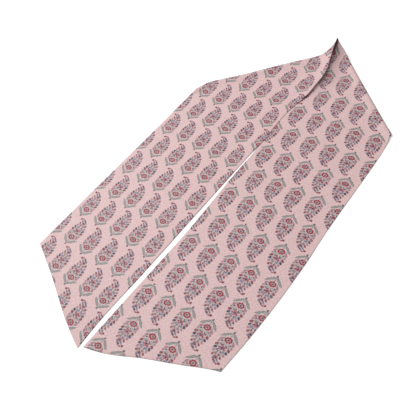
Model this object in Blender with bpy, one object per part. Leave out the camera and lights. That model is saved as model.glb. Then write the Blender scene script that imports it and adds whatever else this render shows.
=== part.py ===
"""A skinny silk scarf laid out on a table: one long doubled strip with slanted ends, folded twice.

The left tail runs up to a slanted fold and turns under. The short neck stretch crosses below both
tails to the right, and a second fold brings it back on top as the right tail. The two folds meet
in a soft raised peak. Each stretch is one thin wall; the tails carry their folds.

Drafting axes, in millimetres: x across the two tails, y along them towards the neck, z up, with
the drafting origin beside the middle of the strip's crossing. The finished part is moved so that
its own origin is the middle of its underside.
"""

import math

import bmesh
import bpy
import numpy as np

MM = 0.001

# Driving sizes
WALL = 1.2  # thickness that stands for the two plies of silk
SLACK = 0.45  # clear gap between layers
NECK_INSET = 0.95  # the neck stretch ends this far inside the folds
HALF_WALL = WALL / 2
LAYER = WALL + SLACK  # how much one layer lifts the next

# Long edges of each tail. Columns: y, x of the outer edge, x of the inner edge.
LEFT_EDGES = (
    (-362.0, -113.1, 7.3),
    (-336.0, -113.1, 5.7),
    (-264.0, -113.7, 6.2),
    (-168.0, -113.9, 6.3),
    (-96.0, -113.9, 7.0),
    (-62.0, -114.5, 8.6),
    (-34.0, -112.7, 6.8),
    (0.0, -111.0, 8.0),
    (15.0, -111.0, 10.4),
    (31.0, -111.0, 12.6),
    (48.0, -111.0, 12.3),
    (61.0, -111.0, 12.0),
    (77.0, -111.0, 9.8),
    (92.7, -111.0, 4.6),
    (103.2, -111.0, 1.9),
    (113.0, -111.0, 0.2),
)
RIGHT_EDGES = (
    (-360.0, 132.0, 10.8),
    (-298.0, 132.2, 11.2),
    (-264.0, 134.4, 11.6),
    (-204.0, 135.6, 12.2),
    (-168.0, 134.6, 11.1),
    (-120.0, 131.8, 8.9),
    (-96.0, 131.0, 8.3),
    (-48.0, 129.9, 6.0),
    (-24.0, 129.2, 5.2),
    (0.0, 127.8, 4.4),
    (12.0, 125.9, 4.0),
    (21.0, 123.4, 3.8),
    (80.0, 122.4, 3.3),
    (114.0, 122.4, 3.4),
)

# Lines where the tails start to turn over. Columns: x, y.
LEFT_FOLD = (
    (-113.0, -35.0),
    (-110.0, -28.8),
    (-107.3, -21.2),
    (-104.2, -15.0),
    (-99.8, -9.8),
    (-82.3, 9.1),
    (-48.9, 49.1),
    (-30.2, 71.3),
    (-13.7, 90.2),
    (-5.1, 100.6),
    (-0.8, 106.4),
    (4.0, 114.0),
)
RIGHT_FOLD = (
    (-1.0, 114.0),
    (1.6, 112.6),
    (10.6, 108.6),
    (25.0, 99.8),
    (57.4, 74.3),
    (90.7, 47.2),
    (106.0, 34.1),
    (116.9, 25.1),
    (120.7, 22.8),
    (123.6, 20.3),
    (126.0, 16.5),
)

# End cuts, slanted and a little bowed. Columns: share of the width from the outer edge, y.
LEFT_CUT = (
    (0.0, -302.8),
    (0.15, -310.6),
    (0.32, -320.5),
    (0.53, -334.3),
    (0.74, -346.6),
    (0.83, -351.5),
    (1.0, -361.0),
)
RIGHT_CUT = (
    (0.0, -299.0),
    (0.05, -302.2),
    (0.28, -316.4),
    (0.43, -325.2),
    (0.575, -333.7),
    (0.70, -342.3),
    (0.80, -348.6),
    (0.90, -353.6),
    (1.0, -357.4),
)

# Ways out of the pile across each fold, in degrees from +x
LEFT_FOLD_HEADING = 139.6
RIGHT_FOLD_HEADING = 50.1

# Folds: a soft roll that deepens towards the peak.
FOLD_BULGE = 1.7  # rise of a tail just before its fold
FOLD_BULGE_REACH = 12.0
ROLL_DEPTH = 2.0
PEAK_ROLL_DEPTH = 3.2

# Raised peak. The left tail climbs along x + y, the right tail back along its fold.
LEFT_PEAK_RISE = 15.0
LEFT_PEAK_START = 60.0
LEFT_PEAK_END = 113.2
LEFT_PEAK_POWER = 4.2
RIGHT_PEAK_RISE = 15.0
RIGHT_PEAK_START = 42.0
RIGHT_PEAK_END = 69.5
RIGHT_PEAK_POWER = 2.6
RIGHT_PEAK_AXIS = (-0.77, 0.638)
NECK_PEAK_RISE = 5.0
NECK_PEAK_RADIUS = 24.0
NECK_PEAK_POWER = 2.0
NECK_PEAK = (2.1, 111.0)
PEAK_LIMIT = 1.1  # the slopes run on a little past their measured end

# Lip: the left tail's inner edge curls up beside the right tail, clear of it.
LIP_LIFT = 3.0
LIP_WIDTH = 14.0
LIP_RAMP_Y = (4.0, 46.0)

# Ramps where one stretch climbs over another
NECK_RAMP = (-26.0, -10.0)  # signed distance from the neck's lower edge
OVERLAP_LIFT = LAYER + 0.3  # a little slack where the left tail lies on the right one
OVERLAP_RAMP_X = (-18.0, -7.0)  # distance from the right tail's inner edge
OVERLAP_RAMP_Y = (-126.0, -94.0)

TAIL_ROWS = 36
TAIL_ROW_CROWDING = 1.5
ROLL_ROWS = 8
NECK_ROWS = 14
COLUMNS = 14
SETTLING_STEPS = 30
CREASE_DEGREES = 40

SILK = {
    "left_tail": (0.79, 0.56, 0.55),
    "neck_stretch": (0.74, 0.51, 0.50),
    "right_tail": (0.77, 0.54, 0.53),
}


def smooth(low, high, at):
    """0 below low, 1 above high, and an S-curve between them."""
    t = np.clip((at - low) / (high - low), 0.0, 1.0)
    return t * t * (3.0 - 2.0 * t)


def climb(low, high, power, at):
    """A slope that starts flat at low and reaches 1 at high."""
    t = np.clip((at - low) / (high - low), 0.0, PEAK_LIMIT)
    return t**power


def through(table, column, at):
    """Reads a column of a table at any value of its first column, along a smooth curve."""
    rows = np.array(table)
    keys, values = rows[:, 0], rows[:, column]
    slopes = np.gradient(values, keys)
    i = int(np.clip(np.searchsorted(keys, at) - 1, 0, len(keys) - 2))
    span = keys[i + 1] - keys[i]
    t = (at - keys[i]) / span
    if not 0.0 <= t <= 1.0:
        return float(np.interp(at, keys, values))
    start = (2 * t**3 - 3 * t**2 + 1) * values[i] + (t**3 - 2 * t**2 + t) * span * slopes[i]
    end = (3 * t**2 - 2 * t**3) * values[i + 1] + (t**3 - t**2) * span * slopes[i + 1]
    return float(start + end)


def x_across(edges, y, across):
    """x at a share of the width, 0 on the outer edge and 1 on the inner edge."""
    outer = through(edges, 1, y)
    inner = through(edges, 2, y)
    return outer + (inner - outer) * across


def fold_point(edges, fold, across):
    """Where a line along the strip, at a share of the width, reaches the fold."""
    y = through(fold, 1, x_across(edges, 0.0, across))
    for _ in range(SETTLING_STEPS):
        y = (y + through(fold, 1, x_across(edges, y, across))) / 2
    return np.array([x_across(edges, y, across), y])


def heading(degrees):
    return np.array([math.cos(math.radians(degrees)), math.sin(math.radians(degrees))])


LEFT_OUTWARD = heading(LEFT_FOLD_HEADING)
RIGHT_OUTWARD = heading(RIGHT_FOLD_HEADING)
NECK_CORNERS = fold_point(LEFT_EDGES, LEFT_FOLD, 0.0), fold_point(RIGHT_EDGES, RIGHT_FOLD, 0.0)


def neck_lift(x, y):
    """Rise of the neck stretch, which is flat but for its tip under the peak."""
    away = math.hypot(x - NECK_PEAK[0], y - NECK_PEAK[1])
    return NECK_PEAK_RISE * float(climb(NECK_PEAK_RADIUS, 0.0, NECK_PEAK_POWER, away))


def over_neck(x, y):
    """Rise of a tail where it lies on the neck stretch."""
    left, right = NECK_CORNERS
    run = (right - left) / np.linalg.norm(right - left)
    inside = run[0] * (y - left[1]) - run[1] * (x - left[0])
    return LAYER * float(smooth(*NECK_RAMP, inside))


def over_right_tail(x, y):
    """Rise of the left tail's inner edge, which lies on the right tail's."""
    past = x - through(RIGHT_EDGES, 2, y)
    return OVERLAP_LIFT * float(smooth(*OVERLAP_RAMP_X, past) * smooth(*OVERLAP_RAMP_Y, y))


def lip(x, y):
    """Rise of the left tail's curled inner edge."""
    inside = x - through(LEFT_EDGES, 2, y)
    return LIP_LIFT * float(smooth(-LIP_WIDTH, 0.0, inside) * smooth(*LIP_RAMP_Y, y))


def left_peak(x, y):
    return float(climb(LEFT_PEAK_START, LEFT_PEAK_END, LEFT_PEAK_POWER, x + y))


def right_peak(x, y):
    along = RIGHT_PEAK_AXIS[0] * x + RIGHT_PEAK_AXIS[1] * y
    return float(climb(RIGHT_PEAK_START, RIGHT_PEAK_END, RIGHT_PEAK_POWER, along))


def fold_bulge(to_fold):
    return FOLD_BULGE * float(smooth(FOLD_BULGE_REACH, 0.0, to_fold))


def left_height(x, y, to_fold):
    flat = HALF_WALL + over_neck(x, y) + over_right_tail(x, y) + lip(x, y)
    return flat + fold_bulge(to_fold) + LEFT_PEAK_RISE * left_peak(x, y)


def right_height(x, y, to_fold):
    flat = HALF_WALL + over_neck(x, y)
    return flat + fold_bulge(to_fold) + RIGHT_PEAK_RISE * right_peak(x, y)


def shares_across():
    """Shares of the width, closer together near both edges."""
    steps = np.arange(COLUMNS + 1) / COLUMNS
    crowded = (1.0 - np.cos(math.pi * steps)) / 2
    return (steps + crowded) / 2


def tail_grid(edges, fold, cut, outward, height, peak):
    """Rows of points from the end cut, up the tail, and round its fold to the underside."""
    steps = np.arange(TAIL_ROWS + 1) / TAIL_ROWS
    up_tail = 1.0 - (1.0 - steps) ** TAIL_ROW_CROWDING
    columns = []
    for across in shares_across():
        start = through(cut, 1, across)
        turn = fold_point(edges, fold, across)
        column = []
        for share in up_tail:
            y = start + (turn[1] - start) * share
            x = x_across(edges, y, across)
            column.append((x, y, height(x, y, (turn[1] - y) * outward[1])))
        top = column[-1][2]
        foot = HALF_WALL + neck_lift(*turn)
        depth = ROLL_DEPTH + (PEAK_ROLL_DEPTH - ROLL_DEPTH) * peak(*turn)
        for k in range(1, ROLL_ROWS + 1):
            angle = math.pi * k / ROLL_ROWS
            x, y = turn + outward * depth * math.sin(angle)
            column.append((x, y, (top + foot) / 2 + (top - foot) / 2 * math.cos(angle)))
        columns.append(column)
    return np.array(columns).transpose(1, 0, 2)


def neck_grid():
    """Rows of points from the left fold to the right one, a seam's gap short of each."""
    columns = []
    for across in shares_across():
        left = fold_point(LEFT_EDGES, LEFT_FOLD, across) - NECK_INSET * LEFT_OUTWARD
        right = fold_point(RIGHT_EDGES, RIGHT_FOLD, across) - NECK_INSET * RIGHT_OUTWARD
        column = []
        for share in np.arange(NECK_ROWS + 1) / NECK_ROWS:
            x, y = left * (1 - share) + right * share
            column.append((x, y, HALF_WALL + neck_lift(x, y)))
        columns.append(column)
    return np.array(columns).transpose(1, 0, 2)


def wall_object(name, grid):
    """A closed wall round a grid of middle points, half its thickness to each side."""
    normals = np.cross(np.gradient(grid, axis=1), np.gradient(grid, axis=0))
    normals /= np.linalg.norm(normals, axis=2, keepdims=True)
    if normals[0, :, 2].mean() < 0:
        normals = -normals
    rows, columns = grid.shape[:2]
    shape = bmesh.new()
    upper, lower = [
        [[shape.verts.new(point) for point in row] for row in (grid + offset * normals) * MM]
        for offset in (HALF_WALL, -HALF_WALL)
    ]
    for side in (upper, lower):
        for i in range(rows - 1):
            for near, far in zip(range(columns - 1), range(1, columns)):
                shape.faces.new((side[i][near], side[i][far], side[i + 1][far], side[i + 1][near]))
    rim = [(0, j) for j in range(columns)]
    rim += [(i, columns - 1) for i in range(1, rows)]
    rim += [(rows - 1, j) for j in range(columns - 2, -1, -1)]
    rim += [(i, 0) for i in range(rows - 2, 0, -1)]
    for (i, j), (k, m) in zip(rim, rim[1:] + rim[:1]):
        shape.faces.new((upper[i][j], upper[k][m], lower[k][m], lower[i][j]))
    bmesh.ops.recalc_face_normals(shape, faces=shape.faces)
    mesh = bpy.data.meshes.new(name)
    shape.to_mesh(mesh)
    shape.free()
    mesh.shade_smooth()
    mesh.set_sharp_from_angle(angle=math.radians(CREASE_DEGREES))
    wall = bpy.data.objects.new(name, mesh)
    bpy.context.collection.objects.link(wall)
    return wall


def silk_material(name, colour):
    silk = bpy.data.materials.new(name + "_silk")
    silk.use_nodes = True
    shader = silk.node_tree.nodes["Principled BSDF"]
    shader.inputs["Base Color"].default_value = (*colour, 1.0)
    shader.inputs["Roughness"].default_value = 0.55
    shader.inputs["Metallic"].default_value = 0.0
    return silk


def centre_on_underside(walls):
    """Moves every mesh so that the origin is the middle of the scarf's box, on its underside."""
    points = np.array([vertex.co[:] for wall in walls for vertex in wall.data.vertices])
    low, high = points.min(axis=0), points.max(axis=0)
    middle = ((low[0] + high[0]) / 2, (low[1] + high[1]) / 2, low[2])
    for wall in walls:
        for vertex in wall.data.vertices:
            vertex.co = [a - b for a, b in zip(vertex.co, middle)]


def main():
    for old in list(bpy.data.objects):
        bpy.data.objects.remove(old)
    grids = {
        "left_tail": tail_grid(
            LEFT_EDGES, LEFT_FOLD, LEFT_CUT, LEFT_OUTWARD, left_height, left_peak
        ),
        "neck_stretch": neck_grid(),
        "right_tail": tail_grid(
            RIGHT_EDGES, RIGHT_FOLD, RIGHT_CUT, RIGHT_OUTWARD, right_height, right_peak
        ),
    }
    walls = []
    for name, grid in grids.items():
        wall = wall_object(name, grid)
        wall.data.materials.append(silk_material(name, SILK[name]))
        walls.append(wall)
    centre_on_underside(walls)


main()
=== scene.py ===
"""Looks of a skinny silk scarf: one doubled strip with slanted ends, laid flat and folded twice.

The whole strip is one closed sheet. It runs from the left end cut up the left tail, round the
first fold, along the neck stretch below, round the second fold and down the right tail. The
print is drawn on the unfolded strip, so it runs on through both folds.

Drafting axes, in millimetres: x across the two tails, y along them towards the neck, z up. They
differ from the frame's axes only by DRAFT_SHIFT.
"""

import math

import bpy
import numpy as np
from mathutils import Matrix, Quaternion, Vector


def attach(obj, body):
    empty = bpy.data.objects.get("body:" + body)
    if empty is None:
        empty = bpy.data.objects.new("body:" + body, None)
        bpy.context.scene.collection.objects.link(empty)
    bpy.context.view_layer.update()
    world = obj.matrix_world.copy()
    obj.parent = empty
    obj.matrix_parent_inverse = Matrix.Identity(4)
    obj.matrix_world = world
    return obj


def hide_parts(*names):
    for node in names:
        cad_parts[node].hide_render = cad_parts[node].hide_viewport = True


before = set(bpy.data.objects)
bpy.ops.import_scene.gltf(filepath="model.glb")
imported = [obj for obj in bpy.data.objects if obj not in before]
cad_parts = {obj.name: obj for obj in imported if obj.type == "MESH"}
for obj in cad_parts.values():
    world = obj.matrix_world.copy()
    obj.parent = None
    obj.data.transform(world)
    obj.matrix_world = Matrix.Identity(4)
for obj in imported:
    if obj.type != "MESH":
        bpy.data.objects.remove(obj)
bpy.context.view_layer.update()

MM = 0.001
DRAFT_SHIFT = (-10.42, 123.17, 0.0)  # from the drafting origin to the frame's origin

# Cloth sizes
WALL = 0.5  # two plies of silk with the air between them
SLACK = 0.15  # clear gap between layers
RIM = 0.7  # the wall's front rounds off towards its back over this width at every edge
HALF_WALL = WALL / 2
LAYER = WALL + SLACK  # from one layer's middle to the next one's
STRIP_WIDTH = 121.0

# Long edges of each tail. Columns: y, x of the outer edge, x of the inner edge.
LEFT_EDGES = (
    (-362.0, -113.1, 7.3),
    (-336.0, -113.1, 5.7),
    (-264.0, -113.7, 6.2),
    (-168.0, -113.9, 6.3),
    (-96.0, -113.9, 6.8),
    (-76.0, -114.2, 7.0),
    (-62.0, -114.5, 8.5),
    (-34.0, -112.7, 6.8),
    (0.0, -111.0, 8.0),
    (15.0, -111.0, 10.4),
    (31.0, -111.0, 12.6),
    (48.0, -111.0, 12.3),
    (61.0, -111.0, 12.0),
    (77.0, -111.0, 9.5),
    (92.7, -111.0, 4.0),
    (103.2, -111.0, 1.8),
    (113.0, -111.0, 0.6),
)
RIGHT_EDGES = (
    (-360.0, 132.0, 10.8),
    (-298.0, 132.2, 11.2),
    (-264.0, 134.4, 11.6),
    (-204.0, 135.6, 12.2),
    (-168.0, 134.6, 11.1),
    (-120.0, 131.8, 8.8),
    (-96.0, 131.0, 8.5),
    (-74.0, 130.5, 8.3),
    (-48.0, 129.9, 6.0),
    (-24.0, 129.2, 5.2),
    (0.0, 127.8, 4.4),
    (12.0, 125.9, 4.0),
    (21.0, 123.4, 3.8),
    (80.0, 122.4, 3.3),
    (94.0, 122.4, 2.0),
    (103.0, 122.4, 0.8),
    (114.0, 122.4, 0.1),
)

# Lines where the tails start to turn over. Columns: x, y.
LEFT_FOLD = (
    (-113.0, -35.0),
    (-110.0, -28.8),
    (-107.3, -21.2),
    (-104.2, -15.0),
    (-99.8, -9.8),
    (-82.3, 9.1),
    (-48.9, 49.1),
    (-30.2, 70.9),
    (-13.7, 89.8),
    (-5.1, 100.0),
    (-0.8, 105.5),
    (4.0, 114.0),
)
RIGHT_FOLD = (
    (-1.0, 114.0),
    (1.6, 112.8),
    (6.0, 112.0),
    (10.6, 111.0),
    (16.0, 108.2),
    (25.0, 100.9),
    (57.4, 74.3),
    (90.7, 47.2),
    (106.0, 34.9),
    (116.9, 26.2),
    (120.7, 23.6),
    (123.6, 20.3),
    (126.0, 16.5),
)

# End cuts, slanted and a little bowed. Columns: share of the width from the outer edge, y.
LEFT_CUT = (
    (0.0, -303.2),
    (0.15, -311.6),
    (0.32, -321.3),
    (0.53, -334.5),
    (0.74, -347.9),
    (0.83, -352.9),
    (1.0, -361.4),
)
RIGHT_CUT = (
    (0.0, -300.0),
    (0.05, -302.4),
    (0.28, -316.4),
    (0.43, -325.2),
    (0.575, -333.7),
    (0.70, -342.3),
    (0.80, -348.6),
    (0.90, -353.6),
    (1.0, -357.4),
)
CUT_SLANT = math.cos(math.radians(25.8))  # a step along the strip, measured square to the cut

# Ways out across each fold, in degrees from +x
LEFT_FOLD_HEADING = 139.6
RIGHT_FOLD_HEADING = 50.1

# Folds: a soft roll
FOLD_BULGE = 1.7  # the tail rises this much on its way to the fold
FOLD_BULGE_REACH = 12.0
ROLL_DEPTH = 2.0  # how far the roll stands out past the line where the tail starts to turn

# Raised peak. The left tail climbs along x + y, the right tail back along its fold.
LEFT_PEAK_RISE = 16.6
LEFT_PEAK_START = 60.0
LEFT_PEAK_END = 113.0
LEFT_PEAK_POWER = 4.2
RIGHT_PEAK_RISE = 17.9
RIGHT_PEAK_START = 42.0
RIGHT_PEAK_END = 71.9
RIGHT_PEAK_POWER = 2.6
RIGHT_PEAK_AXIS = (-0.77, 0.638)
NECK_PEAK_RISE = 5.0
NECK_PEAK_RADIUS = 24.0
NECK_PEAK_POWER = 2.0
NECK_PEAK = (2.1, 111.0)
PEAK_LIMIT = 1.1  # how far a climb may go on past its end, as a share of its length

# Lip: the left tail's inner edge curls up beside the right tail, clear of it.
LIP_LIFT = 3.0
LIP_WIDTH = 14.0
LIP_RAMP_Y = (4.0, 46.0)

# Ramps where one stretch climbs over another
NECK_RAMP = (-26.0, -10.0)  # distance up from the neck stretch's lower edge
OVERLAP_RAMP_X = (-18.0, -7.0)  # x from the right tail's inner edge
OVERLAP_RAMP_Y = (-92.0, -68.0)

# Low soft swells of the cloth, which both tails share and which fade out towards the folds.
# Columns: x, y, half length, half width, turn in degrees from +x, height.
SWELLS = (
    (-70.0, -70.0, 70.0, 16.0, 38.0, 0.5),
    (-40.0, -190.0, 80.0, 18.0, 24.0, 0.5),
    (-80.0, -262.0, 60.0, 14.0, 32.0, 0.4),
    (72.0, -46.0, 64.0, 15.0, -36.0, 0.5),
    (84.0, -150.0, 60.0, 16.0, -14.0, 0.5),
    (66.0, -256.0, 70.0, 18.0, -24.0, 0.5),
)
SWELL_FADE = (8.0, 60.0)  # distance from the fold

# A faint painted shade, standing in for the shadow of the turned edge, runs along every edge.
# Columns: distances from the edge where it starts and where it is full, its strength at each.
EDGE_SHADE_LINE = (0.6, 0.1, 0.0, 0.15)

# Painted shade along the folds' edge, where each roll turns away from the light, though not up at the
# peak.
CREASE_SHADE_REACH = 1.7
CREASE_SHADE_STRENGTH = 0.6
LEFT_CREASE_SHADE = 0.35  # share of that strength
RIGHT_CREASE_SHADE = 1.0
CREASE_SHADE_FADE_Y = (110.0, 92.0)

# Painted shade on the right tail in the nook beside the left tail's edge, where the left tail shades
# it, most at the peak.
NOOK_SHADE_DEPTH = 0.30
NOOK_REACH = (6.0, 10.0)  # at the nook's foot, and how much wider it gets at the peak
NOOK_RAMP_Y = (10.0, 80.0)
NOOK_PEAK_Y = (112.0, 94.0)  # the shade thins towards the tip, all but its core
NOOK_TIP = 0.25  # share of the shade that is left at the tip
NOOK_CORE_SHADE_DEPTH = 1.0
NOOK_CORE_REACH = 2.4
NOOK_CORE_RAMP_Y = (97.0, 106.0)

# Grid of points over the strip
TAIL_ROWS = 130
TAIL_ROW_CROWDING = 1.4  # 1 for even rows; more for rows that crowd towards the fold
ROLL_ROWS = 18
NECK_ROWS = 44
MIDDLE_COLUMNS = 44
EDGE_STEPS = (0.0, 0.05, 0.16, 0.34, 0.6, 0.9, 1.6, 3.0)  # points near an edge, from it
SETTLING_STEPS = 30  # rounds in which the lines along the strip settle on the fold

# The print's place: a half-drop repeat. It keeps to the cloth, so its place across is a share of
# the width.
REPEAT = 24.0  # between neighbours across the strip
ROW_PITCH = 1.46  # from row to row along the strip, in repeats
HALF_DROP = 0.5  # how far each row stands aside of the last one, in repeats
LEFT_PRINT_SHARE = 0.600  # where one flower's middle lies across the left tail
LEFT_PRINT_WIDTH = 5.03  # repeats in the tail's width
LEFT_PRINT_Y = -206.4  # y of that flower's row where x is 0
LEFT_PRINT_TILT = 0.0052  # rise of the row along x
RIGHT_PRINT_SHARE = 0.613
RIGHT_PRINT_WIDTH = 5.10
RIGHT_PRINT_Y = -174.0
RIGHT_PRINT_TILT = 0.0525
LEFT_FOLD_SLIP = 4.6  # the print lies this much further out, in mm, right beside the left fold
LEFT_FOLD_SLIP_X = (-26.0, -46.0)  # not so near the peak
RIGHT_FOLD_SLIP = 2.6
FOLD_SLIP_REACH = 34.0
NECK_PRINT_ROWS = 18  # rows from one tail's flower to the other's, round by the neck
# How far the cloth's drape shifts the print off its even rows.
# Columns: y, repeats towards +x, millimetres towards the tail's end.
LEFT_PRINT_EASE = (
    (-320.0, 0.0, -0.3),
    (-206.0, 0.0, 0.0),
    (-102.0, 0.02, -0.8),
    (-66.0, 0.0, -0.4),
    (-30.0, 0.0, 0.4),
    (4.0, 0.0, 1.2),
    (39.0, 0.0, 3.2),
    (74.0, 0.17, 3.0),
    (100.0, 0.30, 3.0),
)
RIGHT_PRINT_EASE = (
    (-350.0, -0.01, 0.6),
    (-320.0, 0.05, 0.5),
    (-206.0, 0.01, 0.8),
    (-150.0, 0.01, 0.5),
    (-100.0, 0.04, 0.6),
    (-66.0, 0.08, 0.4),
    (-31.0, 0.09, 0.8),
    (3.0, 0.12, 1.4),
    (37.0, 0.14, 1.4),
    (70.0, 0.03, 3.0),
    (100.0, -0.13, 3.8),
)
# The same right at the peak, on top of that. Columns: repeats towards +x, millimetres.
LEFT_PEAK_SLIP = (-0.05, 4.4)
RIGHT_PEAK_SLIP = (0.22, 4.6)
PEAK_SLIP_REACH = (30.0, 4.0)  # distances from the peak where it starts and where it is full


# ---------------------------------------------------------------- shape of the strip


def smooth(low, high, at):
    """0 below low, 1 above high, and an S-curve between them."""
    t = np.clip((at - low) / (high - low), 0.0, 1.0)
    return t * t * (3.0 - 2.0 * t)


def climb(low, high, power, at):
    """A slope that starts flat at low and reaches 1 at high."""
    t = np.clip((at - low) / (high - low), 0.0, PEAK_LIMIT)
    return t**power


def through(table, column, at):
    """Reads a column of a table at any values of its first column, along a smooth curve."""
    rows = np.array(table)
    keys, values = rows[:, 0], rows[:, column]
    slopes = np.gradient(values, keys)
    i = np.clip(np.searchsorted(keys, at) - 1, 0, len(keys) - 2)
    span = keys[i + 1] - keys[i]
    t = np.clip((at - keys[i]) / span, 0.0, 1.0)
    start = (2 * t**3 - 3 * t**2 + 1) * values[i] + (t**3 - 2 * t**2 + t) * span * slopes[i]
    end = (3 * t**2 - 2 * t**3) * values[i + 1] + (t**3 - t**2) * span * slopes[i + 1]
    return start + end


def x_across(edges, y, across):
    """x at a share of the width, 0 on the outer edge and 1 on the inner edge."""
    outer = through(edges, 1, y)
    inner = through(edges, 2, y)
    return outer + (inner - outer) * across


def fold_points(edges, fold, across):
    """Where lines along the strip, at shares of the width, reach the fold."""
    y = through(fold, 1, x_across(edges, 0.0, across))
    for _ in range(SETTLING_STEPS):
        y = (y + through(fold, 1, x_across(edges, y, across))) / 2
    return np.stack([x_across(edges, y, across), y], axis=-1)


def heading(degrees):
    """Unit vector of a direction in degrees from +x."""
    return np.array([math.cos(math.radians(degrees)), math.sin(math.radians(degrees))])


def shares_across():
    """Shares of the width, crowded at both edges so that they can round off."""
    near = np.array(EDGE_STEPS) / STRIP_WIDTH
    middle = np.linspace(near[-1], 1.0 - near[-1], MIDDLE_COLUMNS)[1:-1]
    return np.concatenate([near, middle, 1.0 - near[::-1]])


ACROSS = shares_across()
LEFT_OUTWARD = heading(LEFT_FOLD_HEADING)
RIGHT_OUTWARD = heading(RIGHT_FOLD_HEADING)
LEFT_TURN = fold_points(LEFT_EDGES, LEFT_FOLD, ACROSS)
RIGHT_TURN = fold_points(RIGHT_EDGES, RIGHT_FOLD, ACROSS)


def neck_lift(x, y):
    """Rise of the neck stretch, which is flat but for its tip under the peak."""
    away = np.hypot(x - NECK_PEAK[0], y - NECK_PEAK[1])
    return NECK_PEAK_RISE * climb(NECK_PEAK_RADIUS, 0.0, NECK_PEAK_POWER, away)


def over_neck(x, y):
    """Rise of a tail where it lies on the neck stretch."""
    left, right = LEFT_TURN[0], RIGHT_TURN[0]
    run = (right - left) / np.linalg.norm(right - left)
    inside = run[0] * (y - left[1]) - run[1] * (x - left[0])
    return LAYER * smooth(*NECK_RAMP, inside)


def over_right_tail(x, y):
    """Rise of the left tail's inner edge, which lies on the right tail's."""
    past = x - through(RIGHT_EDGES, 2, y)
    return LAYER * smooth(*OVERLAP_RAMP_X, past) * smooth(*OVERLAP_RAMP_Y, y)


def lip(x, y):
    """Rise of the left tail's curled inner edge."""
    inside = x - through(LEFT_EDGES, 2, y)
    return LIP_LIFT * smooth(-LIP_WIDTH, 0.0, inside) * smooth(*LIP_RAMP_Y, y)


def swell(x, y, to_fold):
    """Rise of the low soft swells."""
    rise = np.zeros_like(x)
    for middle_x, middle_y, length, width, turn, height in SWELLS:
        along = heading(turn)
        run = (x - middle_x) * along[0] + (y - middle_y) * along[1]
        side = (y - middle_y) * along[0] - (x - middle_x) * along[1]
        rise += height * np.exp(-((run / length) ** 2) - (side / width) ** 2)
    return rise * smooth(*SWELL_FADE, to_fold)


def left_peak(x, y):
    """Share of the left tail's climb to the peak."""
    return climb(LEFT_PEAK_START, LEFT_PEAK_END, LEFT_PEAK_POWER, x + y)


def right_peak(x, y):
    """Share of the right tail's climb to the peak."""
    along = RIGHT_PEAK_AXIS[0] * x + RIGHT_PEAK_AXIS[1] * y
    return climb(RIGHT_PEAK_START, RIGHT_PEAK_END, RIGHT_PEAK_POWER, along)


def fold_bulge(to_fold):
    """Rise of a tail beside its fold."""
    return FOLD_BULGE * smooth(FOLD_BULGE_REACH, 0.0, to_fold)


def left_height(x, y, to_fold):
    """Height of the left tail's middle over the floor."""
    flat = HALF_WALL + over_neck(x, y) + over_right_tail(x, y) + lip(x, y)
    raised = fold_bulge(to_fold) + LEFT_PEAK_RISE * left_peak(x, y)
    return flat + raised + swell(x, y, to_fold)


def right_height(x, y, to_fold):
    """Height of the right tail's middle over the floor."""
    flat = HALF_WALL + over_neck(x, y)
    raised = fold_bulge(to_fold) + RIGHT_PEAK_RISE * right_peak(x, y)
    return flat + raised + swell(x, y, to_fold)


def tail_grid(edges, turn, cut, outward, height):
    """Rows of points from the end cut up the tail to the line where it starts to turn over."""
    end_cut = through(cut, 1, ACROSS)
    near = [end_cut + step for step in EDGE_STEPS]
    steps = np.arange(1, TAIL_ROWS + 1) / TAIL_ROWS
    share = 1.0 - (1.0 - steps) ** TAIL_ROW_CROWDING
    far = [near[-1] + (turn[:, 1] - near[-1]) * up for up in share]
    y = np.array(near + far)
    x = x_across(edges, y, ACROSS)
    z = height(x, y, (turn[:, 1] - y) * outward[1])
    return np.stack([x, y, z], axis=-1)


def roll_grid(turn, top, outward):
    """Rows of points round a fold, from the tail down to the neck stretch."""
    foot = HALF_WALL + neck_lift(turn[:, 0], turn[:, 1])
    rows = []
    for angle in np.linspace(0.0, math.pi, ROLL_ROWS + 1)[1:]:
        plan = turn + outward * ROLL_DEPTH * math.sin(angle)
        z = (top + foot) / 2 + (top - foot) / 2 * math.cos(angle)
        rows.append(np.column_stack([plan, z]))
    return np.array(rows)


def neck_grid():
    """Rows of points below both tails, between the feet of the two rolls."""
    rows = []
    for share in np.linspace(0.0, 1.0, NECK_ROWS + 1)[1:-1]:
        plan = LEFT_TURN * (1 - share) + RIGHT_TURN * share
        rows.append(np.column_stack([plan, HALF_WALL + neck_lift(plan[:, 0], plan[:, 1])]))
    return np.array(rows)


# ---------------------------------------------------------------- the sheet


def near_peak(x, y):
    """1 at the peak and 0 well away from it."""
    return smooth(*PEAK_SLIP_REACH, np.hypot(x - NECK_PEAK[0], y - NECK_PEAK[1]))


def left_print(tail):
    """Repeats across and along the strip, from one flower, of the left tail's points."""
    x, y = tail[..., 0], tail[..., 1]
    across = (ACROSS - LEFT_PRINT_SHARE) * LEFT_PRINT_WIDTH - through(LEFT_PRINT_EASE, 1, y)
    across -= LEFT_PEAK_SLIP[0] * near_peak(x, y)
    to_fold = (LEFT_TURN[:, 1] - y) * LEFT_OUTWARD[1]
    eased = y + through(LEFT_PRINT_EASE, 2, y) - LEFT_PRINT_TILT * x
    eased += LEFT_PEAK_SLIP[1] * near_peak(x, y)
    slip = LEFT_FOLD_SLIP * smooth(*LEFT_FOLD_SLIP_X, x)
    eased -= slip * smooth(FOLD_SLIP_REACH, 0.0, to_fold)
    return np.stack([across, (eased - LEFT_PRINT_Y) / REPEAT], axis=-1)


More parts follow.
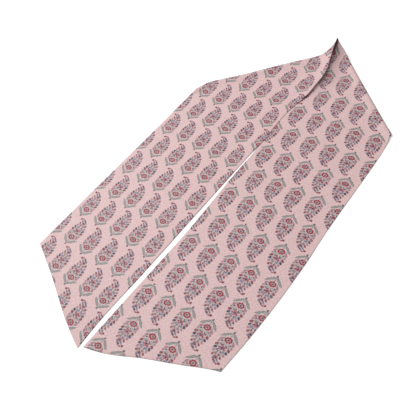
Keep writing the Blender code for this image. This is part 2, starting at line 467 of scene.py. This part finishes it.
def right_print(tail):
    """The same of the right tail's points, where the strip comes back."""
    x, y = tail[..., 0], tail[..., 1]
    across = (ACROSS - RIGHT_PRINT_SHARE) * RIGHT_PRINT_WIDTH + through(RIGHT_PRINT_EASE, 1, y)
    across += RIGHT_PEAK_SLIP[0] * near_peak(x, y)
    to_fold = (RIGHT_TURN[:, 1] - y) * RIGHT_OUTWARD[1]
    eased = y + through(RIGHT_PRINT_EASE, 2, y) - RIGHT_PRINT_TILT * x
    eased += RIGHT_PEAK_SLIP[1] * near_peak(x, y)
    eased -= RIGHT_FOLD_SLIP * smooth(FOLD_SLIP_REACH, 0.0, to_fold)
    along = NECK_PRINT_ROWS * ROW_PITCH - (eased - RIGHT_PRINT_Y) / REPEAT
    return np.stack([across, along], axis=-1)


def crease_shade(tail, turn, outward, most):
    """Painted shade of a tail's rows beside its fold, and of the rows round the fold."""
    to_fold = (turn[:, 1] - tail[..., 1]) * outward[1] + ROLL_DEPTH
    angles = np.linspace(0.0, math.pi, ROLL_ROWS + 1)[1:, None]
    round_it = ROLL_DEPTH * (1.0 - np.sin(np.minimum(angles, math.pi / 2)))
    fade = most * smooth(*CREASE_SHADE_FADE_Y, turn[:, 1])
    shades = [fade * np.exp(-((away / CREASE_SHADE_REACH) ** 2)) for away in (to_fold, round_it)]
    return shades[0], shades[1] * np.ones_like(turn[:, 0])


def nook_shade(tail):
    """Painted shade of the right tail beside the left tail's edge."""
    x, y = tail[..., 0], tail[..., 1]
    past = np.maximum(x - through(LEFT_EDGES, 2, y), 0.0)
    up = smooth(*NOOK_RAMP_Y, y)
    reach = NOOK_REACH[0] + NOOK_REACH[1] * up
    up *= NOOK_TIP + (1.0 - NOOK_TIP) * smooth(*NOOK_PEAK_Y, y)
    core = smooth(*NOOK_CORE_RAMP_Y, y) * np.exp(-((past / NOOK_CORE_REACH) ** 2))
    shade = NOOK_SHADE_DEPTH * up * np.exp(-((past / reach) ** 2)) + NOOK_CORE_SHADE_DEPTH * core
    return np.minimum(shade, 1.0)


def strip_print(left, below, right):
    """Places on the print all along the strip. Below the tails they run on from one to the other."""
    way = np.concatenate([left[-1:], below, right[:1]])
    run = np.cumsum(np.linalg.norm(np.diff(way, axis=0), axis=2), axis=0)
    share = (run / run[-1])[:-1, :, None]
    left_place, right_place = left_print(left), right_print(right)
    below_place = left_place[-1] * (1 - share) + right_place[0] * share
    return np.concatenate([left_place, below_place, right_place])


def strip_fold_shade(left, neck, right):
    """Painted shade beside and round both folds, all along the strip."""
    left_tail, left_roll = crease_shade(left, LEFT_TURN, LEFT_OUTWARD, LEFT_CREASE_SHADE)
    right_tail, right_roll = crease_shade(right, RIGHT_TURN, RIGHT_OUTWARD, RIGHT_CREASE_SHADE)
    plain = np.zeros(neck.shape[:2])
    return np.concatenate([left_tail, left_roll, plain, right_roll[::-1], right_tail])


def strip_nook_shade(left, below, right):
    """The nook's painted shade all along the strip. It runs on round the right tail's fold."""
    depth = nook_shade(right)
    roll = np.repeat(depth[:1], ROLL_ROWS, axis=0)
    plain = np.zeros((len(left) + len(below) - ROLL_ROWS, len(ACROSS)))
    return np.concatenate([plain, roll, depth])


def strip():
    """Middle points of the whole strip, their places on the print and its two painted shades."""
    left = tail_grid(LEFT_EDGES, LEFT_TURN, LEFT_CUT, LEFT_OUTWARD, left_height)
    right = tail_grid(RIGHT_EDGES, RIGHT_TURN, RIGHT_CUT, RIGHT_OUTWARD, right_height)[::-1]
    left_roll = roll_grid(LEFT_TURN, left[-1, :, 2], LEFT_OUTWARD)
    right_roll = roll_grid(RIGHT_TURN, right[0, :, 2], RIGHT_OUTWARD)[::-1]
    neck = neck_grid()
    below = np.concatenate([left_roll, neck, right_roll])
    points = np.concatenate([left, below, right])
    fold_shade = strip_fold_shade(left, neck, right)
    shades = {"painted_crease_shade": fold_shade, "nook": strip_nook_shade(left, below, right)}
    return points, strip_print(left, below, right), shades


def rounding(distance):
    """Share of the wall's thickness at a distance from an edge, 0 on it."""
    t = np.clip(distance / RIM, 0.0, 1.0)
    return np.sqrt(1.0 - (1.0 - t) ** 2)


def edge_distances(rows):
    """Distances of every point from the nearer long edge and from the nearer end cut."""
    from_side = np.minimum(ACROSS, 1.0 - ACROSS) * STRIP_WIDTH
    from_cut = np.full(rows, STRIP_WIDTH)
    from_cut[: len(EDGE_STEPS)] = np.array(EDGE_STEPS) * CUT_SLANT
    from_cut[-len(EDGE_STEPS) :] = np.array(EDGE_STEPS)[::-1] * CUT_SLANT
    shape = (rows, len(ACROSS))
    return np.broadcast_to(from_side, shape), np.broadcast_to(from_cut[:, None], shape)


def quads(grid):
    """The four corners of every cell of a grid, in turn."""
    corners = grid[:-1, :-1], grid[:-1, 1:], grid[1:, 1:], grid[1:, :-1]
    return np.stack([corner.reshape(-1, *grid.shape[2:]) for corner in corners], axis=1)


def sheet_mesh(name, middle, places, shades):
    """A closed sheet round the middle points, with its print as a UV map in repeats.

    The front faces up on both tails. The back carries the same print, mirrored at the outer edge
    as on a doubled strip.
    """
    rows, columns = middle.shape[:2]
    normals = np.cross(np.gradient(middle, axis=1), np.gradient(middle, axis=0))
    normals /= np.linalg.norm(normals, axis=2, keepdims=True)
    from_side, from_cut = edge_distances(rows)
    half = HALF_WALL * rounding(from_side) * rounding(from_cut)
    back = middle - normals * HALF_WALL
    front = back + normals * 2 * half[..., None]
    inside = np.zeros((rows, columns), bool)
    inside[1:-1, 1:-1] = True
    points = np.concatenate([front.reshape(-1, 3), back[inside]]) + np.array(DRAFT_SHIFT)
    front_index = np.arange(rows * columns).reshape(rows, columns)
    back_index = front_index.copy()
    back_index[inside] = rows * columns + np.arange(inside.sum())
    back_places = places.copy()
    back_places[..., 0] = 2.0 * places[:, :1, 0] - places[..., 0]
    faces = np.concatenate([quads(front_index), quads(back_index)[:, ::-1]])
    corners = np.concatenate([quads(places), quads(back_places)[:, ::-1]])
    mesh = bpy.data.meshes.new(name)
    mesh.from_pydata((points * MM).tolist(), [], faces.tolist())
    layer = mesh.uv_layers.new(name="print")
    layer.uv.foreach_set("vector", corners.reshape(-1).astype(np.float32))
    for attribute, values in {"from_edge": np.minimum(from_side, from_cut), **shades}.items():
        layer = mesh.attributes.new(attribute, "FLOAT", "POINT")
        layer.data.foreach_set("value", np.concatenate([values.reshape(-1), values[inside]]))
    mesh.shade_smooth()
    mesh.validate()
    return mesh


# ---------------------------------------------------------------- materials


class Graph:
    """Adds nodes to a new material and wires them."""

    def __init__(self, name):
        self.material = bpy.data.materials.new(name)
        self.material.use_nodes = True
        self.tree = self.material.node_tree
        self.shader = self.tree.nodes["Principled BSDF"]

    def surface(self, inputs):
        """Feeds the shader's own inputs."""
        for name, value in inputs.items():
            self.feed(self.shader.inputs[name], value)

    def feed(self, socket, value):
        """Links a socket to another, or sets it to a number or a colour."""
        if isinstance(value, bpy.types.NodeSocket):
            self.tree.links.new(value, socket)
        else:
            socket.default_value = value

    def node(self, kind, inputs=(), **settings):
        """A new node with its inputs fed and its settings made."""
        node = self.tree.nodes.new(kind)
        for name, value in settings.items():
            setattr(node, name, value)
        for name, value in dict(inputs).items():
            self.feed(node.inputs[name], value)
        return node

    def math(self, operation, *values):
        node = self.node("ShaderNodeMath", operation=operation)
        for socket, value in zip(node.inputs, values):
            self.feed(socket, value)
        return node.outputs[0]

    def add(self, *values):
        return self.math("ADD", *values)

    def subtract(self, *values):
        return self.math("SUBTRACT", *values)

    def multiply(self, *values):
        return self.math("MULTIPLY", *values)

    def step(self, at, low, high, to_low=0.0, to_high=1.0):
        """An S-curve from to_low at low to to_high at high."""
        inputs = {"Value": at, "From Min": low, "From Max": high, "To Min": to_low, "To Max": to_high}
        return self.node("ShaderNodeMapRange", inputs, interpolation_type="SMOOTHSTEP").outputs[0]

    def mix(self, share, below, above):
        """Two colours, mixed by share."""
        node = self.node("ShaderNodeMix", data_type="RGBA")
        self.feed(node.inputs[0], share)
        self.feed(node.inputs[6], below)
        self.feed(node.inputs[7], above)
        return node.outputs[2]

    def point(self, x, y):
        return self.node("ShaderNodeCombineXYZ", {"X": x, "Y": y}).outputs[0]

    def parts(self, vector):
        node = self.node("ShaderNodeSeparateXYZ", {"Vector": vector})
        return node.outputs[0], node.outputs[1]

    def attribute(self, name):
        return self.node("ShaderNodeAttribute", attribute_name=name).outputs["Fac"]

    def noise(self, at, scale, detail):
        inputs = {"Vector": at, "Scale": scale, "Detail": detail}
        return self.node("ShaderNodeTexNoise", inputs).outputs["Fac"]

    def patches(self, at, scale, detail, *step):
        """Soft patches: noise taken through a step."""
        return self.step(self.noise(at, scale, detail), *step)


def colour(red, green, blue):
    """A colour as seen, 0 to 255, turned into the linear values that shaders take."""
    seen = [value / 255 for value in (red, green, blue)]
    return (*[s / 12.92 if s <= 0.04045 else ((s + 0.055) / 1.055) ** 2.4 for s in seen], 1.0)


GROUND = colour(211, 182, 181)
GROUND_DEEP = colour(208, 177, 177)
GROUND_SHADE = colour(188, 156, 156)
BODY = colour(176, 157, 159)
PALE = colour(204, 188, 190)
LEAF = colour(138, 137, 132)
LEAF_RIM = colour(104, 106, 102)
LEAF_DARK = colour(72, 74, 76)
SCARLET = colour(138, 24, 42)
BLUSH = colour(154, 62, 76)
CRIMSON = colour(116, 10, 38)
ROSE = colour(150, 100, 108)
SLATE = colour(98, 98, 124)
NAVY = colour(32, 34, 68)
# Painted shade: along every edge, along the folds and in the nook beside the left tail's edge
EDGE_SHADE = colour(140, 104, 104)
CREASE_SHADE = colour(96, 50, 54)
NOOK_SHADE = colour(54, 6, 16)

# The printed leaf: a teardrop whose tip curls over. All in repeats from its flower's middle.
BODY_FOOT = -0.34
BODY_TIP = 1.04
BODY_WIDTH = 0.36
BODY_SHOULDER = 0.80  # these two powers shape its outline
BODY_FULLNESS = 0.70
LEAN_START = 0.6  # from here up the tip leans over
LEAN = 0.8
BODY_RIM = (-0.01, 0.05)  # its soft rim, from outside to inside
BODY_STRENGTH = 0.75
ROW_FOOT = -0.47  # each row's cell starts here
TICK_TILT = 0.08  # the ticks lie lower towards +x by this share of x
SOFT = 0.16  # softness of a printed shape's edge, as a share of its size

# Pairs of strokes on both sides. Columns: ink, x, y, half length, half width, turn in degrees.
PAIRS = (
    ("leaf_rim", 0.205, -0.205, 0.235, 0.055, 40.0),
    ("leaf", 0.215, -0.193, 0.175, 0.024, 40.0),
    ("pale", 0.175, -0.118, 0.14, 0.014, 42.0),
    ("leaf", 0.235, -0.03, 0.11, 0.024, 48.0),
    ("rose", 0.27, 0.015, 0.07, 0.024, 34.0),
    ("leaf", 0.155, 0.185, 0.10, 0.028, 40.0),
    ("leaf_dark", 0.065, 0.225, 0.07, 0.024, 62.0),
    ("slate", 0.135, 0.475, 0.065, 0.026, 45.0),
    ("leaf_dark", 0.055, 0.54, 0.07, 0.022, 70.0),
    ("rose", 0.10, 0.635, 0.06, 0.024, 50.0),
    ("leaf_dark", 0.07, 0.84, 0.06, 0.02, 74.0),
)
# Single strokes: the knob below the leaf and the stalk of its flower.
SINGLES = (
    ("leaf_dark", 0.0, -0.405, 0.052, 0.050, 90.0),
    ("leaf", 0.0, -0.28, 0.11, 0.028, 90.0),
)
# The curl at the tip. It reaches into the next row, whose leaves stand half a repeat aside.
CURL = (
    ("crimson", -0.02, 0.905, 0.045, 0.04, 40.0),
    ("navy", -0.085, 0.94, 0.042, 0.036, 60.0),
    ("rose", -0.14, 0.985, 0.05, 0.032, 160.0),
    ("crimson", -0.215, 0.99, 0.04, 0.032, 195.0),
    ("crimson", -0.292, 0.945, 0.056, 0.052, 0.0),
    ("slate", -0.294, 0.942, 0.030, 0.030, 0.0),
)
# Flowers. Columns: inks of the petals and the heart, radius of the heart, y, petals, radius of
# the petal ring, half its breadth, depth of its scallops. Radii are those across the strip.
FLOWERS = (
    ("scarlet", "leaf_dark", 0.060, -0.022, 8, 0.122, 0.039, 0.008),
    ("blush", "navy", 0.058, 0.35, 5, 0.094, 0.030, 0.020),
    ("blush", "navy", 0.028, 0.755, 5, 0.054, 0.026, 0.014),
)
FLOWER_FLATNESS = 1.25  # how much wider a flower is across the strip than along it
PETAL_SWELL = 0.2  # how much broader the ring is at a petal's middle

# Uneven print. Columns: noise's scale and detail, furthest shift in repeats.
JITTER_ACROSS = (9.0, 2.0, 0.03)
JITTER_ALONG = (17.0, 1.0, 0.04)
# Patches. Columns: noise's scale and detail, its values at both ends of the step, what they give.
MOTTLE = (2.6, 3.0, 0.3, 0.7, 0.2, 0.8)
GRAIN = (16.0, 3.0, 0.36, 0.64, 0.0, 0.8)
WEAR = (15.0, 1.0, 0.3, 0.6, 0.68, 1.0)  # the ink's strength, less where it took badly

UNWORN = "scarlet"  # the one ink that took evenly
# Inks, from the lowest to the topmost
INKS = (
    ("leaf_rim", LEAF_RIM),
    ("pale", PALE),
    ("leaf", LEAF),
    ("leaf_dark", LEAF_DARK),
    ("rose", ROSE),
    ("slate", SLATE),
    ("scarlet", SCARLET),
    ("blush", BLUSH),
    ("crimson", CRIMSON),
    ("navy", NAVY),
)

# Ticks up both sides, from the foot to the tip, each with a thin vein under it and a short dash
# behind it. Columns: ink of the tick, ink of the dash, size.
TICKS = (
    ("rose", "leaf_dark", 0.96),
    ("rose", "navy", 0.76),
    ("crimson", "leaf_dark", 1.06),
    ("navy", "crimson", 1.02),
    ("rose", "slate", 0.86),
    ("crimson", "leaf_dark", 0.84),
    ("slate", "navy", 0.74),
)
TICK_START = 0.05
TICK_STEP = 0.135
TICK_INSET = 0.07  # from the body's outline to a tick's middle
TICK_LENGTH = 0.074
TICK_WIDTH = 0.050
TICK_TURN = 27.0
TICK_TURN_STEP = 2.5  # each tick is turned this much more than the last
VEIN_BACK = (0.035, 0.068)  # from a tick to its vein, inwards and down
VEIN_LENGTH = 0.085
VEIN_WIDTH = 0.018
INNER_BACK = (0.14, 0.07)  # from a tick to the short dash behind it
INNER_LENGTH = 0.05
INNER_WIDTH = 0.026


def body_half_width(y):
    """Half the width of the printed leaf's body."""
    share = (y - BODY_FOOT) / (BODY_TIP - BODY_FOOT)
    return BODY_WIDTH * math.sin(math.pi * share**BODY_SHOULDER) ** BODY_FULLNESS


def tick_strokes():
    """The ticks with their veins and dashes, as strokes."""
    strokes = []
    for k, (ink, inner_ink, size) in enumerate(TICKS):
        y = TICK_START + TICK_STEP * k
        x = body_half_width(y) - TICK_INSET * size
        turn = TICK_TURN + TICK_TURN_STEP * k
        strokes.append((ink, x, y, TICK_LENGTH * size, TICK_WIDTH * size, turn))
        vein_x, vein_y = x - VEIN_BACK[0] * size, y - VEIN_BACK[1]
        strokes.append(("leaf", vein_x, vein_y, VEIN_LENGTH * size, VEIN_WIDTH, turn))
        inner_x, inner_y = x - INNER_BACK[0] * size, y - INNER_BACK[1]
        if inner_x > 0.0:
            strokes.append((inner_ink, inner_x, inner_y, INNER_LENGTH, INNER_WIDTH, turn))
    return strokes


def curl_strokes():
    """The tip's curl, once on its own leaf and once where it meets the next row."""
    next_row = [(ink, x + HALF_DROP, y - ROW_PITCH, *shape) for ink, x, y, *shape in CURL]
    return [*CURL, *next_row]


def stroke_field(graph, place, stroke):
    """Distance from a stroke's middle as a share of its size, 1 on its outline."""
    _, x, y, length, width, turn = stroke
    inputs = {
        "Vector": place,
        "Location": (x, y, 0.0),
        "Rotation": (0.0, 0.0, math.radians(turn)),
        "Scale": (length, width, 1.0),
    }
    local = graph.node("ShaderNodeMapping", inputs, vector_type="TEXTURE").outputs[0]
    return graph.node("ShaderNodeVectorMath", {0: local}, operation="LENGTH").outputs["Value"]


def flower_fields(graph, x, y, flower):
    """(petal ring, heart) of a flower, each 1 on its outline."""
    *_, heart, at_y, petals, radius, breadth, depth = flower
    y = graph.multiply(graph.subtract(y, at_y), FLOWER_FLATNESS)
    away = graph.math("SQRT", graph.add(graph.multiply(x, x), graph.multiply(y, y)))
    angle = graph.math("ARCTAN2", y, x)
    wave = graph.math("COSINE", graph.multiply(angle, float(petals)))
    ring = graph.add(radius, graph.multiply(wave, depth))
    off = graph.math("ABSOLUTE", graph.subtract(away, ring))
    breadth_here = graph.math("MULTIPLY_ADD", wave, breadth * PETAL_SWELL, breadth)
    return graph.math("DIVIDE", off, breadth_here), graph.math("DIVIDE", away, heart)


def jittered(graph, value, strip_place, scale, detail, most):
    """A place on the strip, shifted unevenly by up to most either way."""
    noise = graph.noise(strip_place, scale, detail)
    return graph.add(value, graph.math("MULTIPLY_ADD", noise, 2.0 * most, -most))


def cell_place(graph, strip_place):
    """(x, y) in repeats from the flower whose cell of the half-drop repeat this is."""
    u, v = graph.parts(strip_place)
    u = jittered(graph, u, strip_place, *JITTER_ACROSS)
    v = jittered(graph, v, strip_place, *JITTER_ALONG)
    row = graph.math("FLOOR", graph.math("DIVIDE", graph.subtract(v, ROW_FOOT), ROW_PITCH))
    y = graph.subtract(v, graph.multiply(row, ROW_PITCH))
    drop = graph.multiply(graph.math("PINGPONG", row, 1.0), HALF_DROP)
    # Adding 0.5 before FRACT and taking it off after puts the cell's middle at 0.
    x = graph.math("FRACT", graph.add(graph.subtract(u, drop), 0.5))
    return graph.subtract(x, 0.5), y


def ink_fields(graph, x, y, bent, side):
    """For each ink, the distance to its nearest shape as a share of that shape's size."""
    tick_y = graph.add(y, graph.multiply(x, TICK_TILT))
    layers = (
        (graph.point(x, y), [*SINGLES, *curl_strokes()]),
        (graph.point(side, y), PAIRS),
        (graph.point(side, tick_y), tick_strokes()),
    )
    shapes = []
    for place, strokes in layers:
        shapes += [(stroke[0], stroke_field(graph, place, stroke)) for stroke in strokes]
    for flower in FLOWERS:
        shapes += zip(flower[:2], flower_fields(graph, bent, y, flower))
    fields = {}
    for ink, field in shapes:
        fields[ink] = graph.math("MINIMUM", fields[ink], field) if ink in fields else field
    return fields


def body_mask(graph, side, y):
    """1 inside the printed leaf's body and 0 outside it, by the curve of body_half_width."""
    share = graph.math("DIVIDE", graph.subtract(y, BODY_FOOT), BODY_TIP - BODY_FOOT)
    share = graph.math("MAXIMUM", graph.math("MINIMUM", share, 1.0), 0.0)
    angle = graph.multiply(graph.math("POWER", share, BODY_SHOULDER), math.pi)
    swing = graph.math("MAXIMUM", graph.math("SINE", angle), 0.0)
    width = graph.multiply(graph.math("POWER", swing, BODY_FULLNESS), BODY_WIDTH)
    return graph.step(graph.subtract(width, side), *BODY_RIM)


def printed_colour(graph, strip_place):
    """The silk's ground with the printed leaves on it."""
    x, y = cell_place(graph, strip_place)
    rise = graph.math("MAXIMUM", graph.subtract(y, LEAN_START), 0.0)
    bent = graph.add(x, graph.multiply(graph.multiply(rise, rise), LEAN))
    side = graph.math("ABSOLUTE", bent)
    seen = graph.mix(graph.patches(strip_place, *MOTTLE), GROUND, GROUND_DEEP)
    seen = graph.mix(graph.patches(strip_place, *GRAIN), seen, GROUND_SHADE)
    seen = graph.mix(graph.multiply(body_mask(graph, side, y), BODY_STRENGTH), seen, BODY)
    fields = ink_fields(graph, x, y, bent, side)
    strength = graph.patches(strip_place, *WEAR)
    for ink, tint in INKS:
        mask = graph.step(fields[ink], 1.0 + SOFT, 1.0 - SOFT)
        if ink != UNWORN:
            mask = graph.multiply(mask, strength)
        seen = graph.mix(mask, seen, tint)
    return seen


def shaded(graph, seen):
    """The print with its painted shade: a line along every edge, a band along the folds and the nook
    beside the left tail's edge.
    """
    seen = graph.mix(graph.step(graph.attribute("from_edge"), *EDGE_SHADE_LINE), seen, EDGE_SHADE)
    painted_crease_shade = graph.multiply(graph.attribute("painted_crease_shade"), CREASE_SHADE_STRENGTH)
    return graph.mix(graph.attribute("nook"), graph.mix(painted_crease_shade, seen, CREASE_SHADE), NOOK_SHADE)


# Weave. The twill's ribs run slantwise, and the slubs are long and thin.
TWILL = {"Scale": 15.0, "Distortion": 0.6, "Detail": 1.0}
TWILL_HEIGHT = 0.6
SLUB_STRETCH = (1.0, 6.0, 1.0)
SLUB_NOISE = (40.0, 2.0)  # scale and detail
SLUB_HEIGHT = 0.5
WEAVE_RELIEF = {"Strength": 0.25, "Distance": 0.0001}
ROUGHNESS = (0.3, 0.7, 0.46, 0.56)  # slub noise at both ends of the step, and what it gives
SILK_FINISH = {"Specular IOR Level": 0.35, "Sheen Weight": 0.2, "Sheen Roughness": 0.4}


def printed_silk():
    graph = Graph("printed_silk")
    strip_place = graph.node("ShaderNodeUVMap", uv_map="print").outputs[0]
    ribs = {"Vector": strip_place, **TWILL}
    twill = graph.node("ShaderNodeTexWave", ribs, bands_direction="DIAGONAL").outputs["Fac"]
    stretched = {"Vector": strip_place, "Scale": SLUB_STRETCH}
    slub = graph.noise(graph.node("ShaderNodeMapping", stretched).outputs[0], *SLUB_NOISE)
    height = graph.add(graph.multiply(twill, TWILL_HEIGHT), graph.multiply(slub, SLUB_HEIGHT))
    relief = graph.node("ShaderNodeBump", {"Height": height, **WEAVE_RELIEF})
    seen = shaded(graph, printed_colour(graph, strip_place))
    rough = graph.step(slub, *ROUGHNESS)
    graph.surface({"Base Color": seen, "Normal": relief.outputs[0], "Roughness": rough})
    graph.surface(SILK_FINISH)
    return graph.material


# ---------------------------------------------------------------- the scarf and its stage


def add_scarf():
    scarf = bpy.data.objects.new("silk_scarf", sheet_mesh("silk_scarf", *strip()))
    bpy.context.collection.objects.link(scarf)
    scarf.data.materials.append(printed_silk())
    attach(scarf, "root")
    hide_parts("left_tail", "neck_stretch", "right_tail")
    return scarf


# Floor, in metres
FLOOR_SIZE = 8.0
FLOOR_DROP = 0.0002  # so that it doesn't touch the cloth, which starts at 0
FLOOR_FINISH = {
    "Base Color": (0.97, 0.97, 0.97, 1.0),
    "Roughness": 0.9,
    "Specular IOR Level": 0.1,
}


def add_floor():
    bpy.ops.mesh.primitive_plane_add(size=FLOOR_SIZE, location=(0.0, 0.0, -FLOOR_DROP))
    floor = bpy.context.object
    floor.name = "floor"
    graph = Graph("pale_floor")
    graph.surface(FLOOR_FINISH)
    floor.data.materials.append(graph.material)
    return floor


# Camera, in drafting millimetres
CAMERA_AT = (283.44, -399.17, 495.84)
CAMERA_AIM = (11.93, -166.58, 0.0)
CAMERA_ROLL = -13.59  # degrees
CAMERA_LENS = 49.33
SENSOR_WIDTH = 36.0
CLIP_START = 0.01  # metres
CLIP_END = 50.0


def placed(point):
    """A drafting point in the frame, in metres."""
    return Vector(point) * MM + Vector(DRAFT_SHIFT) * MM


def add_camera():
    data = bpy.data.cameras.new("camera")
    data.lens = CAMERA_LENS
    data.sensor_width = SENSOR_WIDTH
    data.clip_start = CLIP_START
    data.clip_end = CLIP_END
    camera = bpy.data.objects.new("camera", data)
    bpy.context.collection.objects.link(camera)
    camera.location = placed(CAMERA_AT)
    look = (placed(CAMERA_AIM) - camera.location).to_track_quat("-Z", "Y")
    camera.rotation_mode = "QUATERNION"
    camera.rotation_quaternion = look @ Quaternion((0.0, 0.0, 1.0), math.radians(CAMERA_ROLL))
    bpy.context.scene.camera = camera


# Light: one softbox and an even glow all round
SOFTBOX_AT = (-1.02, 0.2, 1.36)  # metres
SOFTBOX_SIZE = 0.9
SOFTBOX_POWER = 22.0
GLOW_COLOUR = (1.0, 1.0, 1.0, 1.0)
GLOW_STRENGTH = 0.62


def add_softbox():
    data = bpy.data.lights.new("softbox", "AREA")
    data.shape = "SQUARE"
    data.size = SOFTBOX_SIZE
    data.energy = SOFTBOX_POWER
    light = bpy.data.objects.new("softbox", data)
    bpy.context.collection.objects.link(light)
    light.location = SOFTBOX_AT
    light.rotation_mode = "QUATERNION"
    light.rotation_quaternion = (-light.location).to_track_quat("-Z", "Y")


def add_glow():
    world = bpy.data.worlds.new("studio")
    bpy.context.scene.world = world
    world.use_nodes = True
    background = world.node_tree.nodes["Background"]
    background.inputs["Color"].default_value = GLOW_COLOUR
    background.inputs["Strength"].default_value = GLOW_STRENGTH


add_camera()
add_softbox()
add_glow()
bpy.context.scene.view_settings.view_transform = "Standard"
floor = add_floor()
scarf = add_scarf()
